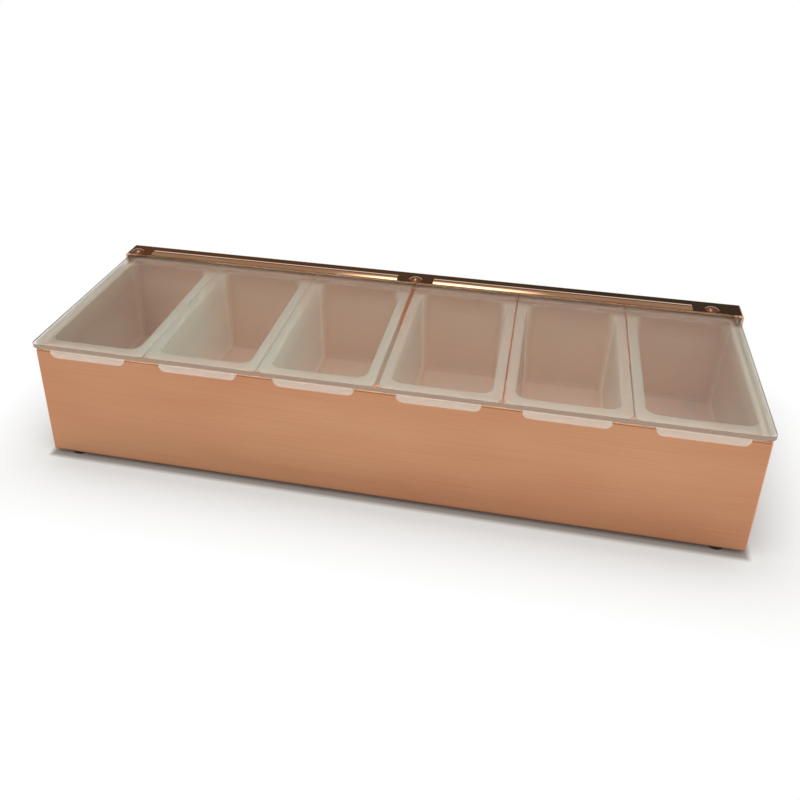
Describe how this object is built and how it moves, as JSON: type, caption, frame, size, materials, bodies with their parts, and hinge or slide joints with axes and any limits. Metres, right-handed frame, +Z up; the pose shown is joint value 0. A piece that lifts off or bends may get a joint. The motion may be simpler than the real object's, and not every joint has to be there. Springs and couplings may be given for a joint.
{
  "type": "condiment holder",
  "caption": "Long brushed copper box with lift-out translucent inserts under a flat clear lid that swings up on a polished hinge rail along the back.",
  "frame": {"origin": "on the table under the middle of the closed holder's box", "axes": "+X along the holder to the right as seen from the front, +Y towards the hinge at the back, +Z up"},
  "size_m": [0.4858, 0.163, 0.096],
  "materials": {
    "brushed_copper": "copper-plated steel sheet, brushed lengthwise",
    "polished_copper": "mirror-polished copper plate",
    "pivot_steel": "polished copper plate",
    "clear_lid": "clear acrylic sheet with polished edges",
    "insert_plastic": "translucent natural polypropylene",
    "washer_plastic": "plain nylon",
    "foot_rubber": "black rubber"
  },
  "bodies": {
    "holder": {"body_shell": "brushed_copper", "insert_1": "insert_plastic", "insert_2": "insert_plastic", "insert_3": "insert_plastic", "insert_4": "insert_plastic", "insert_5": "insert_plastic", "insert_6": "insert_plastic", "hinge_pin_left": "pivot_steel", "hinge_pin_right": "pivot_steel", "hinge_washer_left": "washer_plastic", "hinge_washer_right": "washer_plastic", "foot_front_left": "foot_rubber", "foot_front_right": "foot_rubber", "foot_back_left": "foot_rubber", "foot_back_right": "foot_rubber"},
    "lid": {"lid_panel": "clear_lid", "hinge_rail": "polished_copper", "lid_rivets": "polished_copper"}
  },
  "joints": [
    {"name": "lid_hinge", "type": "hinge", "parent": "holder", "child": "lid", "pos_m": [0, 0.0755, 0.082], "axis": [-1, 0, 0], "range_deg": [0, 102]}
  ]
}
